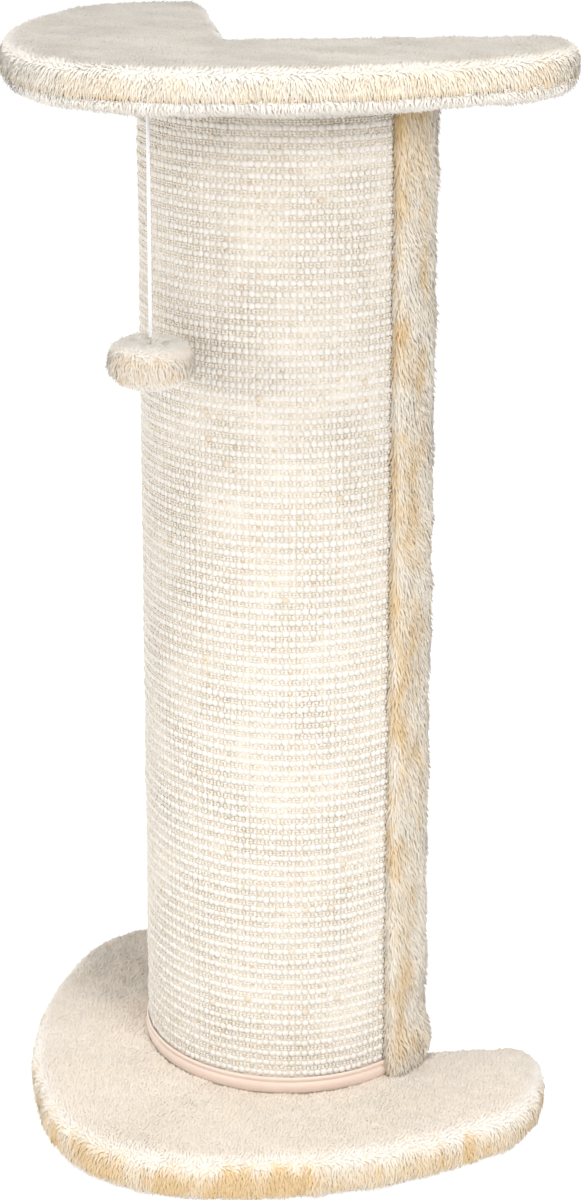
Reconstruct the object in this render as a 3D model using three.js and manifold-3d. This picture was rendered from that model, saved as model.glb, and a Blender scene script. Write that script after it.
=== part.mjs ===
// Cat scratching post for the outer corner of a wall: a cardboard tube, cut away at the back,
// between two plush-covered boards, faced with woven sisal and hung with a pompom on a string.
// Millimetres, +Z up. The rounded front faces -Y and the wall corner comes in from +Y.
// The origin is on the floor, under the middle of the outline.
import * as THREE from 'three';
import { mergeVertices } from 'three/addons/utils/BufferGeometryUtils.js';
import Module from 'manifold-3d';

const wasm = await Module();
wasm.setup();

// ---- driving dimensions ----

const overallHeight = 748; // floor to the top of the upper cover
const clearance = 0.3; // between pieces that touch

// The two boards share one outline of arcs, measured from the axis of the tube.
const boardWidth = 382;
const boardFrontReach = 200; // axis to the front edge
const noseRadius = 115; // the arc at the front
const flankRadius = 302; // the flatter arcs beside it
const wingRadius = 83.5; // the arcs round the two wings
const wingCentreBack = 10.5; // their centres, behind the axis
const wingTipRadius = 14;
const recessLead = 75.5; // corner of the wall recess, ahead of the axis
const recessRound = 12;
const baseTrim = 4; // the base board is smaller by this, except in the recess
const baseBoardThickness = 18;
const topBoardThickness = 15;

// Plush covers
const edgePile = 8; // cover thickness round the boards' edges
const facePile = 6.5; // on the top faces
const underPile = 5; // on the undersides
const tuckWidth = 28; // how far the base cover is tucked under its board
const topRound = 7; // rounding of the top cover's upper edge
const underInset = 12; // how far the underside's cover draws in at its lower edge
const baseUpperRound = 12;
const baseLowerRound = 9;
const seamRound = 2.5; // rounding at the seam of the top board's two covers
const seamHeight = 9; // seam above the underside of the top board's cover

// Post
const tubeRadius = 97;
const tubeWall = 5;
const sisalThickness = 3.7;
const sisalHalfAngle = 81.5; // degrees to each side of the front
const hemHeight = 11.8;
const hemThickness = 1.2;
const hemLift = 1.5; // hem above the base cover
const stripPile = 6.5;
const stripGap = 0.4; // between mat and strip, along the tube
const stripFlap = 16; // how far the strips are turned inside the tube
const formerThickness = 18;

// Bolts, washers and T-nuts
const boltRadius = 4;
const boltHeadHeight = 5.3;
const boltHeadRadius = 7.5;
const boltSeatRadius = 76; // distance of the bolts from the axis
const boltSeatAngle = 52; // degrees to each side of the front
const boltEnd = 1; // bolt short of the far face of its T-nut
const washerRadius = 11;
const washerThickness = 1.6;
const counterboreDepth = 7;
const teeNutFlangeRadius = 11;
const teeNutFlangeThickness = 1.5;
const teeNutBarrelRadius = 5.5;
const teeNutBarrelLength = 9;

// Toy
const toyForward = 139; // toy ahead of the axis
const stringLength = 143;
const stringDiameter = 2.5;
const knotRadius = 2.8;
const loopRadius = 3;
const loopCord = 1.1; // radius of the cord in the loop
const stapleWidth = 9;
const stapleWire = 1.2;
const stapleDrop = 4.2; // crown below the top board
const stapleGrip = 8; // legs inside the top board
const toyHoleRadius = 6.5; // hole in the underside cover round the staple
const pompomRadius = 28;
const pompomHeight = 36;
const pompomSquareness = 2.5; // exponent of its profile; 2 is an ellipse
const pompomDimple = 3; // depth of the hollow where the string goes in

// Facets
const noseSteps = 8;
const flankSteps = 5;
const wingSteps = 12;
const tipSteps = 5;
const recessSteps = 3;
const tubeSteps = 48;
const sisalSteps = 40;
const foldSteps = 5;
const roundSteps = 3;
const drilledSides = 20;
const fastenerSides = 20;
const stringSides = 8;
const stringRise = 7.5; // length of one step of the string
const pompomSides = 28;
const pompomRings = 12;

// ---- heights, from the floor up ----

const baseBoardBottom = underPile + clearance;
const baseBoardTop = baseBoardBottom + baseBoardThickness;
const baseCoverCeiling = baseBoardTop + clearance;
const baseCoverTop = baseCoverCeiling + facePile;
const topCoverCeiling = overallHeight - facePile;
const topBoardTop = topCoverCeiling - clearance;
const topBoardBottom = topBoardTop - topBoardThickness;
const underCoverFloor = topBoardBottom - clearance;
const underCoverBottom = underCoverFloor - underPile;
const seamLevel = underCoverBottom + seamHeight;
const postBottom = baseCoverTop + clearance;
const postTop = underCoverBottom - clearance;
const bottomFormerTop = postBottom + formerThickness;
const topFormerBottom = postTop - formerThickness;

// ---- helpers ----

const degrees = Math.PI / 180;
const root2 = Math.SQRT2;
const smallestRound = 2;

// Points of an arc, angles in degrees; the last one is left out where a tangent arc follows.
function arcPoints(centre, radius, from, to, steps, withEnd = false) {
  const points = [];
  for (let i = 0; i < steps + (withEnd ? 1 : 0); i++) {
    const angle = (from + ((to - from) * i) / steps) * degrees;
    points.push(new THREE.Vector2(centre.x + radius * Math.cos(angle), centre.y + radius * Math.sin(angle)));
  }
  return points;
}

function directionOf(from, to) {
  return Math.atan2(to.y - from.y, to.x - from.x) / degrees;
}

function mirrored(points) {
  return points.map((p) => new THREE.Vector2(-p.x, p.y)).reverse();
}

// Angle at which a circle round the axis meets the wall line y = x - lead.
function angleAtWall(radius, lead) {
  return 45 - Math.asin(lead / (radius * root2)) / degrees;
}

// A closed solid lofted through rings with the same number of points, each anticlockwise from
// above. The first and last rings are capped.
function loft(rings) {
  const count = rings[0].points.length;
  const positions = [];
  for (const ring of rings) {
    for (const point of ring.points) positions.push(point.x, point.y, ring.z);
  }
  const index = [];
  for (const [a, b, c] of THREE.ShapeUtils.triangulateShape(rings[0].points, [])) index.push(a, c, b);
  for (let k = 0; k + 1 < rings.length; k++) {
    for (let i = 0; i < count; i++) {
      const low = k * count;
      const high = low + count;
      const next = (i + 1) % count;
      index.push(low + i, low + next, high + next, low + i, high + next, high + i);
    }
  }
  const last = (rings.length - 1) * count;
  for (const [a, b, c] of THREE.ShapeUtils.triangulateShape(rings.at(-1).points, [])) {
    index.push(last + a, last + b, last + c);
  }
  const geometry = new THREE.BufferGeometry();
  geometry.setAttribute('position', new THREE.Float32BufferAttribute(positions, 3));
  geometry.setIndex(index);
  return geometry;
}

function prism(points, bottom, top) {
  return loft([{ points, z: bottom }, { points, z: top }]);
}

// A solid turned about Z from a closed profile of [radius, height] pairs.
function turned(profile, sides) {
  const points = profile.map(([radius, height]) => new THREE.Vector2(radius, height));
  const geometry = new THREE.LatheGeometry(points, sides);
  geometry.rotateX(Math.PI / 2);
  return geometry;
}

function drill(x, y, radius, bottom, top) {
  const geometry = new THREE.CylinderGeometry(radius, radius, top - bottom, drilledSides);
  geometry.rotateX(Math.PI / 2);
  geometry.translate(x, y, (top + bottom) / 2);
  return geometry;
}

function toManifold(geometry) {
  const bare = geometry.clone();
  bare.deleteAttribute('normal');
  bare.deleteAttribute('uv');
  const merged = mergeVertices(bare, 1e-4);
  const mesh = new wasm.Mesh({
    numProp: 3,
    vertProperties: new Float32Array(merged.attributes.position.array),
    triVerts: new Uint32Array(merged.index.array),
  });
  return new wasm.Manifold(mesh);
}

function fromManifold(solid) {
  const mesh = solid.getMesh();
  const geometry = new THREE.BufferGeometry();
  geometry.setAttribute('position', new THREE.Float32BufferAttribute(mesh.vertProperties, 3));
  geometry.setIndex(new THREE.Uint32BufferAttribute(mesh.triVerts, 1));
  return geometry;
}

function cut(geometry, tools) {
  let solid = toManifold(geometry);
  for (const tool of tools) solid = solid.subtract(toManifold(tool));
  return fromManifold(solid);
}

function joined(first, second) {
  return fromManifold(toManifold(first).add(toManifold(second)));
}

const finishes = {
  plush: { color: 0xeadfcc, roughness: 0.95 },
  sisal: { color: 0xf1e8d4, roughness: 0.9 },
  satin: { color: 0xf2d9cd, roughness: 0.5 },
  chipboard: { color: 0xc9a877, roughness: 0.85 },
  cardboard: { color: 0xb08a5c, roughness: 0.9 },
  steel: { color: 0xb9bcc0, roughness: 0.35, metalness: 0.9 },
  string: { color: 0xf4f4f6, roughness: 0.8 },
};

const post = new THREE.Group();

function addPiece(name, geometry, finish) {
  const flat = geometry.index ? geometry.toNonIndexed() : geometry;
  flat.computeVertexNormals();
  const mesh = new THREE.Mesh(flat, new THREE.MeshStandardMaterial(finishes[finish]));
  mesh.name = name;
  post.add(mesh);
  return mesh;
}

// ---- outline of the boards ----

const axis = new THREE.Vector2(0, 0);
const noseCentre = new THREE.Vector2(0, noseRadius - boardFrontReach);
const wingCentre = new THREE.Vector2(boardWidth / 2 - wingRadius, wingCentreBack);
const flankCentre = centreOfTouchingArc(noseCentre, noseRadius, wingCentre, wingRadius, flankRadius);
const noseEnd = directionOf(flankCentre, noseCentre);
const flankEnd = directionOf(flankCentre, wingCentre);

// Centre of a large arc that touches two smaller ones from outside them, on their left.
function centreOfTouchingArc(first, firstRadius, second, secondRadius, radius) {
  const between = second.clone().sub(first);
  const span = between.length();
  const toFirst = radius - firstRadius;
  const toSecond = radius - secondRadius;
  const along = (toFirst ** 2 - toSecond ** 2 + span ** 2) / (2 * span);
  const aside = Math.sqrt(toFirst ** 2 - along ** 2);
  const unit = between.divideScalar(span);
  return new THREE.Vector2(
    first.x + unit.x * along - unit.y * aside,
    first.y + unit.y * along + unit.x * aside,
  );
}

// The outline, moved outwards by grow, and by recessGrow in the recess for the wall corner.
function plateOutline(grow, recessGrow = grow) {
  const lead = recessLead - recessGrow * root2;
  const tipRound = Math.max(wingTipRadius + Math.min(grow, recessGrow), smallestRound);
  const wingToWall = (wingCentre.x - wingCentre.y - lead) / root2;
  const aside = wingToWall - tipRound;
  const along = Math.sqrt((wingRadius + grow - tipRound) ** 2 - aside ** 2);
  const tipCentre = new THREE.Vector2(
    wingCentre.x + (along - aside) / root2,
    wingCentre.y + (along + aside) / root2,
  );
  const wingEnd = directionOf(wingCentre, tipCentre);
  const cornerRound = Math.max(recessRound - recessGrow, smallestRound);
  const cornerCentre = new THREE.Vector2(0, cornerRound * root2 - lead);
  const right = [
    ...arcPoints(noseCentre, noseRadius + grow, -90, noseEnd, noseSteps),
    ...arcPoints(flankCentre, flankRadius + grow, noseEnd, flankEnd, flankSteps),
    ...arcPoints(wingCentre, wingRadius + grow, flankEnd, wingEnd, wingSteps),
    ...arcPoints(tipCentre, tipRound, wingEnd, 135, tipSteps, true),
    ...arcPoints(cornerCentre, cornerRound, -45, -90, recessSteps, true),
  ];
  return [...right, ...mirrored(right.slice(1, -1))];
}

// Rings up the outside of a cover, with its lower and upper edges rounded. The lower edge may draw
// in further than it is high.
function coverSide(bottom, top, grow, recessGrow, lowerRound, upperRound, lowerInset = lowerRound) {
  const rings = [];
  const addRing = (inset, z) => {
    rings.push({ points: plateOutline(grow - inset, recessGrow - inset), z });
  };
  for (let i = 0; i <= roundSteps; i++) {
    const turn = (90 * i * degrees) / roundSteps;
    addRing(lowerInset * (1 - Math.sin(turn)), bottom + lowerRound * (1 - Math.cos(turn)));
  }
  for (let i = 0; i <= roundSteps; i++) {
    const turn = (90 * i * degrees) / roundSteps;
    addRing(upperRound * (1 - Math.cos(turn)), top - upperRound * (1 - Math.sin(turn)));
  }
  return rings;
}

// ---- bolt places ----

const boltPlaces = [-1, 1].map((side) => ({
  label: side < 0 ? 'left' : 'right',
  x: side * boltSeatRadius * Math.sin(boltSeatAngle * degrees),
  y: -boltSeatRadius * Math.cos(boltSeatAngle * degrees),
}));
const boltHole = boltRadius + clearance;
const nutHole = teeNutBarrelRadius + clearance;

function drilledThrough(radius, bottom, top) {
  return boltPlaces.map(({ x, y }) => drill(x, y, radius, bottom, top));
}

// ---- staple, in the top board ----

const stapleCrown = topBoardBottom - stapleDrop;

function stapleShape(margin) {
  const half = stapleWidth / 2 + margin;
  const inner = stapleWidth / 2 - stapleWire - margin;
  const low = stapleCrown - stapleWire / 2 - margin;
  const high = topBoardBottom + stapleGrip + margin;
  const outline = new THREE.Shape([
    new THREE.Vector2(-half, low),
    new THREE.Vector2(half, low),
    new THREE.Vector2(half, high),
    new THREE.Vector2(inner, high),
    new THREE.Vector2(inner, low + stapleWire + 2 * margin),
    new THREE.Vector2(-inner, low + stapleWire + 2 * margin),
    new THREE.Vector2(-inner, high),
    new THREE.Vector2(-half, high),
  ]);
  const depth = stapleWire + 2 * margin;
  const geometry = new THREE.ExtrudeGeometry(outline, { depth, bevelEnabled: false });
  geometry.rotateX(Math.PI / 2);
  geometry.translate(0, depth / 2 - toyForward, 0);
  return geometry;
}

// ---- base ----

function makeBase() {
  const trimmed = (grow) => plateOutline(grow - baseTrim, grow);
  const counterbores = drilledThrough(
    washerRadius + 2 * clearance,
    -1,
    baseBoardBottom + counterboreDepth,
  );
  const boardTools = [...drilledThrough(boltHole, 0, baseCoverTop), ...counterbores];
  addPiece('base_board', cut(prism(trimmed(0), baseBoardBottom, baseBoardTop), boardTools), 'chipboard');

  const cover = loft([
    { points: trimmed(clearance), z: baseCoverCeiling },
    { points: trimmed(clearance), z: underPile },
    { points: trimmed(-tuckWidth), z: underPile },
    { points: trimmed(-tuckWidth), z: 0 },
    ...coverSide(0, baseCoverTop, edgePile - baseTrim, edgePile, baseLowerRound, baseUpperRound),
  ]);
  const coverTools = [...drilledThrough(boltHole, baseBoardTop, postBottom), ...counterbores];
  addPiece('base_cover', cut(cover, coverTools), 'plush');
}

// ---- top ----

function makeTop() {
  const flangeDepth = teeNutFlangeThickness + clearance;
  const boardTools = [
    ...drilledThrough(nutHole, topBoardBottom - 1, topBoardTop + 1),
    ...drilledThrough(teeNutFlangeRadius + clearance, topBoardTop - flangeDepth, topBoardTop + 1),
    stapleShape(clearance),
  ];
  addPiece('top_board', cut(prism(plateOutline(0), topBoardBottom, topBoardTop), boardTools), 'chipboard');

  const upperCover = loft([
    { points: plateOutline(clearance), z: topCoverCeiling },
    { points: plateOutline(clearance), z: seamLevel + clearance },
    ...coverSide(seamLevel + clearance, overallHeight, edgePile, edgePile, seamRound, topRound),
  ]);
  addPiece('top_cover', upperCover, 'plush');

  const underRise = seamHeight - seamRound;
  const underCover = loft([
    ...coverSide(underCoverBottom, seamLevel, edgePile, edgePile, underRise, seamRound, underInset),
    { points: plateOutline(clearance), z: seamLevel },
    { points: plateOutline(clearance), z: underCoverFloor },
  ]);
  const underTools = [
    ...drilledThrough(boltHole, postTop, topBoardTop),
    drill(0, -toyForward, toyHoleRadius, postTop, topBoardBottom),
  ];
  addPiece('top_under_cover', cut(underCover, underTools), 'plush');
}

// ---- post ----

const coverWallLead = recessLead - edgePile * root2;
const tubeWallLead = coverWallLead + (stripPile + clearance) * root2;
const tubeInner = tubeRadius - tubeWall;

// An open ring section round the front of the axis, between angles measured from +X.
function ringSection(inner, outer, innerEnd, outerEnd, steps) {
  const outside = arcPoints(axis, outer, -180 - outerEnd, outerEnd, steps, true);
  const inside = arcPoints(axis, inner, innerEnd, -180 - innerEnd, steps, true);
  return [...outside, ...inside];
}

// The right rear edge of the tube, moved outwards: along the outside, round the cut edge and back
// along the inside.
function tubeEdgeCurve(offset) {
  const outerEnd = angleAtWall(tubeRadius, tubeWallLead);
  const innerEnd = angleAtWall(tubeInner, tubeWallLead);
  const [outerCorner] = arcPoints(axis, tubeRadius, outerEnd, outerEnd, 1);
  const [innerCorner] = arcPoints(axis, tubeInner, innerEnd, innerEnd, 1);
  const start = sisalHalfAngle - 90 + stripGap / tubeRadius / degrees;
  const flapAngle = stripFlap / tubeInner / degrees;
  return [
    ...arcPoints(axis, tubeRadius + offset, start, outerEnd, foldSteps),
    ...arcPoints(outerCorner, offset, outerEnd, 135, foldSteps, true),
    ...arcPoints(innerCorner, offset, 135, 180 + innerEnd, foldSteps),
    ...arcPoints(axis, tubeInner - offset, innerEnd, innerEnd - flapAngle, foldSteps, true),
  ];
}

function stripSection(margin) {
  const outside = tubeEdgeCurve(clearance + stripPile + margin);
  const inside = tubeEdgeCurve(clearance / 2 - margin / 2).reverse();
  return [...outside, ...inside];
}

function makePost() {
  const tube = ringSection(
    tubeInner,
    tubeRadius,
    angleAtWall(tubeInner, tubeWallLead),
    angleAtWall(tubeRadius, tubeWallLead),
    tubeSteps,
  );
  addPiece('post_tube', prism(tube, postBottom, postTop), 'cardboard');

  const matInner = tubeRadius + clearance;
  const matOuter = matInner + sisalThickness;
  const matEnd = sisalHalfAngle - 90;
  const mat = ringSection(matInner, matOuter, matEnd, matEnd, sisalSteps);
  addPiece('sisal_mat', prism(mat, postBottom, postTop), 'sisal');

  const hemInner = matOuter + clearance;
  const hem = ringSection(hemInner, hemInner + hemThickness, matEnd, matEnd, sisalSteps);
  addPiece('hem_tape', prism(hem, postBottom + hemLift, postBottom + hemLift + hemHeight), 'satin');

  const strip = [...tubeEdgeCurve(clearance + stripPile), ...tubeEdgeCurve(clearance).reverse()];
  addPiece('right_side_strip', prism(strip, postBottom, postTop), 'plush');
  addPiece('left_side_strip', prism(mirrored(strip), postBottom, postTop), 'plush');
}

// A plate that fills one end of the tube and is notched round the strips' flaps.
function former(bottom, top, holes) {
  const reach = tubeInner - clearance;
  const end = angleAtWall(reach, tubeWallLead);
  const outline = arcPoints(axis, reach, -180 - end, end, tubeSteps, true);
  outline.push(new THREE.Vector2(0, -tubeWallLead));
  const notch = stripSection(clearance);
  const tools = [notch, mirrored(notch)].map((points) => prism(points, bottom - 1, top + 1));
  return cut(prism(outline, bottom, top), [...tools, ...holes]);
}

function makeFormers() {
  const bottomHoles = [
    ...drilledThrough(boltHole, postBottom - 1, bottomFormerTop),
    ...drilledThrough(nutHole, bottomFormerTop - teeNutBarrelLength - 1, bottomFormerTop + 1),
  ];
  addPiece('bottom_former', former(postBottom, bottomFormerTop, bottomHoles), 'chipboard');
  const topHoles = drilledThrough(boltHole, topFormerBottom - 1, postTop + 1);
  addPiece('top_former', former(topFormerBottom, postTop, topHoles), 'chipboard');
}

// ---- fasteners ----

function boltGeometry(length) {
  const shank = new THREE.CylinderGeometry(boltRadius, boltRadius, length + 1, fastenerSides);
  shank.rotateX(Math.PI / 2);
  shank.translate(0, 0, (length - 1) / 2);
  const head = new THREE.CylinderGeometry(boltHeadRadius, boltHeadRadius, boltHeadHeight, 6);
  head.rotateX(Math.PI / 2);
  head.translate(0, 0, -boltHeadHeight / 2);
  return joined(head, shank);
}

function washerGeometry() {
  const bore = boltRadius + clearance;
  return turned(
    [
      [bore, 0],
      [washerRadius, 0],
      [washerRadius, washerThickness],
      [bore, washerThickness],
      [bore, 0],
    ],
    fastenerSides,
  );
}

// Flange on top, barrel below.
function teeNutGeometry() {
  const bore = boltRadius + clearance;
  return turned(
    [
      [bore, -teeNutBarrelLength],
      [teeNutBarrelRadius, -teeNutBarrelLength],
      [teeNutBarrelRadius, 0],
      [teeNutFlangeRadius, 0],
      [teeNutFlangeRadius, teeNutFlangeThickness],
      [bore, teeNutFlangeThickness],
      [bore, -teeNutBarrelLength],
    ],
    fastenerSides,
  );
}

// One bolt from below, its washer against seat and its T-nut on the face at nutSeat.
function addFastening(end, place, seat, nutSeat) {
  const washerBottom = seat - clearance - washerThickness;
  const headTop = washerBottom - clearance;
  const boltTop = nutSeat + clearance + teeNutFlangeThickness - boltEnd;
  const pieces = [
    ['bolt', boltGeometry(boltTop - headTop), headTop],
    ['washer', washerGeometry(), washerBottom],
    ['tee_nut', teeNutGeometry(), nutSeat + clearance],
  ];
  for (const [kind, geometry, z] of pieces) {
    addPiece(`${end}_${kind}_${place.label}`, geometry, 'steel').position.set(place.x, place.y, z);
  }
}

function makeFasteners() {
  for (const place of boltPlaces) {
    addFastening('base', place, baseBoardBottom + counterboreDepth, bottomFormerTop);
    const topNutSeat = topBoardTop - teeNutFlangeThickness - 2 * clearance;
    addFastening('top', place, topFormerBottom, topNutSeat);
  }
}

// ---- toy ----

function makeToy() {
  addPiece('toy_staple', stapleShape(0), 'steel');

  const loop = new THREE.TorusGeometry(loopRadius, loopCord, 8, 20);
  loop.rotateY(Math.PI / 2);
  const slack = loopRadius - loopCord - stapleWire / 2 - clearance;
  const loopCentre = stapleCrown - slack;
  addPiece('string_loop', loop, 'string').position.set(0, -toyForward, loopCentre);

  const knotCentre = loopCentre - loopRadius - loopCord - clearance - knotRadius;
  const knot = new THREE.SphereGeometry(knotRadius, 12, 8);
  addPiece('string_knot', knot, 'string').position.set(0, -toyForward, knotCentre);

  const stringTop = knotCentre - knotRadius - clearance;
  const stringBottom = stringTop - stringLength;
  const sides = arcPoints(axis, stringDiameter / 2, 0, 360, stringSides);
  const steps = Math.round(stringLength / stringRise);
  const path = new THREE.LineCurve3(
    new THREE.Vector3(0, -toyForward, stringBottom),
    new THREE.Vector3(0, -toyForward, stringTop),
  );
  const string = new THREE.ExtrudeGeometry(new THREE.Shape(sides), { steps, extrudePath: path });
  addPiece('toy_string', string, 'string');

  // A flattened ball, a little squared, with a hollow on top for the string.
  const profile = [];
  const power = 2 / pompomSquareness;
  for (let i = 0; i <= pompomRings; i++) {
    const angle = (-90 + (180 * i) / pompomRings) * degrees;
    const rise = Math.sin(angle);
    const radius = i % pompomRings === 0 ? 0 : pompomRadius * Math.cos(angle) ** power;
    const hollow = pompomDimple * Math.max(0, rise) ** 8;
    profile.push([radius, (pompomHeight / 2) * Math.sign(rise) * Math.abs(rise) ** power - hollow]);
  }
  const pompomCentre = stringBottom - clearance - pompomHeight / 2 + pompomDimple;
  addPiece('toy_pompom', turned(profile, pompomSides), 'plush').position.set(0, -toyForward, pompomCentre);
}

makeBase();
makeTop();
makePost();
makeFormers();
makeFasteners();
makeToy();

// The boards' outline is centred over the origin.
const outlineBack = Math.max(...plateOutline(edgePile).map((p) => p.y));
const outlineFront = -boardFrontReach - edgePile;
post.position.y = -(outlineBack + outlineFront) / 2;
post.name = 'corner_scratching_post';

export default post;
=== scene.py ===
import math

import bmesh
import bpy
import numpy as np
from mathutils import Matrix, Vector, noise


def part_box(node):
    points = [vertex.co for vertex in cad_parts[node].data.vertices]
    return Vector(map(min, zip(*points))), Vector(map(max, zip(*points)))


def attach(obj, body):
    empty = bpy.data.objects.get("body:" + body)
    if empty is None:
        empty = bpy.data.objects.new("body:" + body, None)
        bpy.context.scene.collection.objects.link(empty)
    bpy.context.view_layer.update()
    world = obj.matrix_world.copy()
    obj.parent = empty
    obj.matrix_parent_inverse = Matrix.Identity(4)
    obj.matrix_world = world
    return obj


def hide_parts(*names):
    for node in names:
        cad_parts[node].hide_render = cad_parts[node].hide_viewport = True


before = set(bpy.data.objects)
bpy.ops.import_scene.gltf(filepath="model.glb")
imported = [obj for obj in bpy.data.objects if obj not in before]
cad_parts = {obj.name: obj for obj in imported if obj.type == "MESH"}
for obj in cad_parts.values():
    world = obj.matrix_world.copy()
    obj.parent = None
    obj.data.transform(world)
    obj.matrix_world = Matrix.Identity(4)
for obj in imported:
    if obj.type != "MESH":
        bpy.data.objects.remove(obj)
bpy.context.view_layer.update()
print("frame loaded,", len(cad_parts), "nodes")

# places that the frame gives
tubeLow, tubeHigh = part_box("post_tube")
matLow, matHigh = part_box("sisal_mat")
hemLow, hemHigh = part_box("hem_tape")
tubeRadius = (tubeHigh[0] - tubeLow[0]) / 2
axisY = tubeLow[1] + tubeRadius
matOuter = axisY - matLow[1]
matInner = tubeRadius
matHalfAngle = math.asin(matHigh[0] / matOuter)
postBottom, postTop = matLow[2], matHigh[2]


# node trees

class Signal:
    # the output of a node, which can be used in sums
    def __init__(self, graph, socket):
        self.graph = graph
        self.socket = socket

    def __add__(self, other):
        return self.graph.math("ADD", self, other)

    def __sub__(self, other):
        return self.graph.math("SUBTRACT", self, other)

    def __rsub__(self, other):
        return self.graph.math("SUBTRACT", other, self)

    def __mul__(self, other):
        return self.graph.math("MULTIPLY", self, other)

    def __truediv__(self, other):
        return self.graph.math("DIVIDE", self, other)

    __radd__ = __add__
    __rmul__ = __mul__

    def other(self, name):
        # another output of the same node
        return Signal(self.graph, self.socket.node.outputs[name])


class Graph:
    # builds one node tree, of a material or of a Geometry Nodes group
    def __init__(self, tree):
        self.tree = tree
        self.keys = {}

    def node(self, kind, settings=None, sockets=None, out=None):
        made = self.tree.nodes.new(kind)
        for key, value in (settings or {}).items():
            if key == "stops":
                self.fillRamp(made.color_ramp, value)
            else:
                setattr(made, key, value)
        shown = [socket for socket in made.inputs if socket.enabled]
        for key, value in (sockets or {}).items():
            named = [socket for socket in shown if socket.name == key]
            self.feed(named[0] if named else shown[key], value)
        outputs = [socket for socket in made.outputs if socket.enabled]
        chosen = [socket for socket in outputs if socket.name == out] or outputs
        return Signal(self, chosen[0]) if chosen else None

    def feed(self, socket, value):
        if isinstance(value, Signal):
            self.tree.links.new(value.socket, socket)
        else:
            socket.default_value = value

    def fillRamp(self, ramp, stops):
        while len(ramp.elements) < len(stops):
            ramp.elements.new(1)
        for element, (place, colour) in zip(ramp.elements, stops):
            element.position = place
            element.color = colour

    def math(self, operation, *values):
        return self.node("ShaderNodeMath", {"operation": operation}, dict(enumerate(values)))

    def vector(self, operation, *values):
        sockets = dict(enumerate(values))
        return self.node("ShaderNodeVectorMath", {"operation": operation}, sockets, "Vector")

    def stretched(self, place, factors):
        return self.vector("MULTIPLY", place, factors)

    def scaled(self, place, factor):
        return self.node("ShaderNodeVectorMath", {"operation": "SCALE"}, {"Vector": place, "Scale": factor})

    def noise(self, place, scale=1.0, detail=2.0, roughness=0.5, out="Fac"):
        sockets = {"Vector": place, "Scale": scale, "Detail": detail, "Roughness": roughness}
        return self.node("ShaderNodeTexNoise", None, sockets, out)

    def step(self, value, low, high):
        # 0 below low, 1 above high, smooth between them
        sockets = {"Value": value, "From Min": low, "From Max": high}
        return self.node("ShaderNodeMapRange", {"interpolation_type": "SMOOTHSTEP"}, sockets)

    def mix(self, factor, first, second, blend="MIX"):
        settings = {"data_type": "RGBA", "blend_type": blend}
        return self.node("ShaderNodeMix", settings, {"Factor": factor, "A": first, "B": second})

    def separate(self, place):
        return self.node("ShaderNodeSeparateXYZ", None, {"Vector": place})

    def combine(self, x, y, z):
        return self.node("ShaderNodeCombineXYZ", None, {"X": x, "Y": y, "Z": z})

    def attribute(self, name):
        return self.node("ShaderNodeAttribute", {"attribute_name": name}, None, "Fac")

    # the rest is for Geometry Nodes
    def given(self, name):
        return self.node("GeometryNodeInputNamedAttribute", {"data_type": "FLOAT"}, {"Name": name})

    def ask(self, name, kind, value=None):
        if not self.keys:
            self.entry = self.tree.nodes.new("NodeGroupInput")
        socket = self.tree.interface.new_socket(name, in_out="INPUT", socket_type="NodeSocket" + kind)
        if value is not None:
            socket.default_value = value
        self.keys[name] = socket.identifier
        return Signal(self, self.entry.outputs[name])

    def answer(self, geometry):
        self.tree.interface.new_socket("Result", in_out="OUTPUT", socket_type="NodeSocketGeometry")
        self.feed(self.tree.nodes.new("NodeGroupOutput").inputs[0], geometry)
        return self

    def store(self, geometry, name, value, domain="POINT"):
        settings = {"data_type": "FLOAT", "domain": domain}
        sockets = {"Geometry": geometry, "Name": name, "Value": value}
        return self.node("GeometryNodeStoreNamedAttribute", settings, sockets)

    def storeVector(self, geometry, name, value, domain="POINT"):
        settings = {"data_type": "FLOAT_VECTOR", "domain": domain}
        sockets = {"Geometry": geometry, "Name": name, "Value": value}
        return self.node("GeometryNodeStoreNamedAttribute", settings, sockets)

    def random(self, low, high, seed):
        sockets = {"Min": low, "Max": high, "Seed": seed}
        return self.node("FunctionNodeRandomValue", {"data_type": "FLOAT"}, sockets)

    def randomVector(self, reach, seed):
        sockets = {"Min": (-reach,) * 3, "Max": (reach,) * 3, "Seed": seed}
        return self.node("FunctionNodeRandomValue", {"data_type": "FLOAT_VECTOR"}, sockets)

    def join(self, *parts):
        joined = self.node("GeometryNodeJoinGeometry")
        for part in reversed(parts):
            self.tree.links.new(part.socket, joined.socket.node.inputs[0])
        return joined

    def realised(self, geometry, material):
        whole = self.node("GeometryNodeRealizeInstances", None, {"Geometry": geometry})
        return self.node("GeometryNodeSetMaterial", None, {"Geometry": whole, "Material": material})


def geometryGraph(name):
    return Graph(bpy.data.node_groups.new(name, "GeometryNodeTree"))


def runTree(graph, piece, values):
    # runs a Geometry Nodes tree on a piece and keeps the result as its plain mesh
    modifier = piece.modifiers.new("build", "NODES")
    modifier.node_group = graph.tree
    for name, value in values.items():
        modifier[graph.keys[name]] = value
    settle(piece)


def settle(piece):
    # applies the modifiers of a piece
    bpy.context.view_layer.update()
    depsgraph = bpy.context.evaluated_depsgraph_get()
    mesh = bpy.data.meshes.new_from_object(
        piece.evaluated_get(depsgraph), preserve_all_data_layers=True, depsgraph=depsgraph
    )
    piece.modifiers.clear()
    piece.data = mesh
    mesh.name = piece.name
    return piece


# meshes

def pieceFrom(name, points, faces):
    mesh = bpy.data.meshes.new(name)
    mesh.from_pydata([tuple(map(float, p)) for p in points], [], faces)
    mesh.polygons.foreach_set("use_smooth", [True] * len(mesh.polygons))
    mesh.update()
    piece = bpy.data.objects.new(name, mesh)
    bpy.context.collection.objects.link(piece)
    return piece


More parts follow.
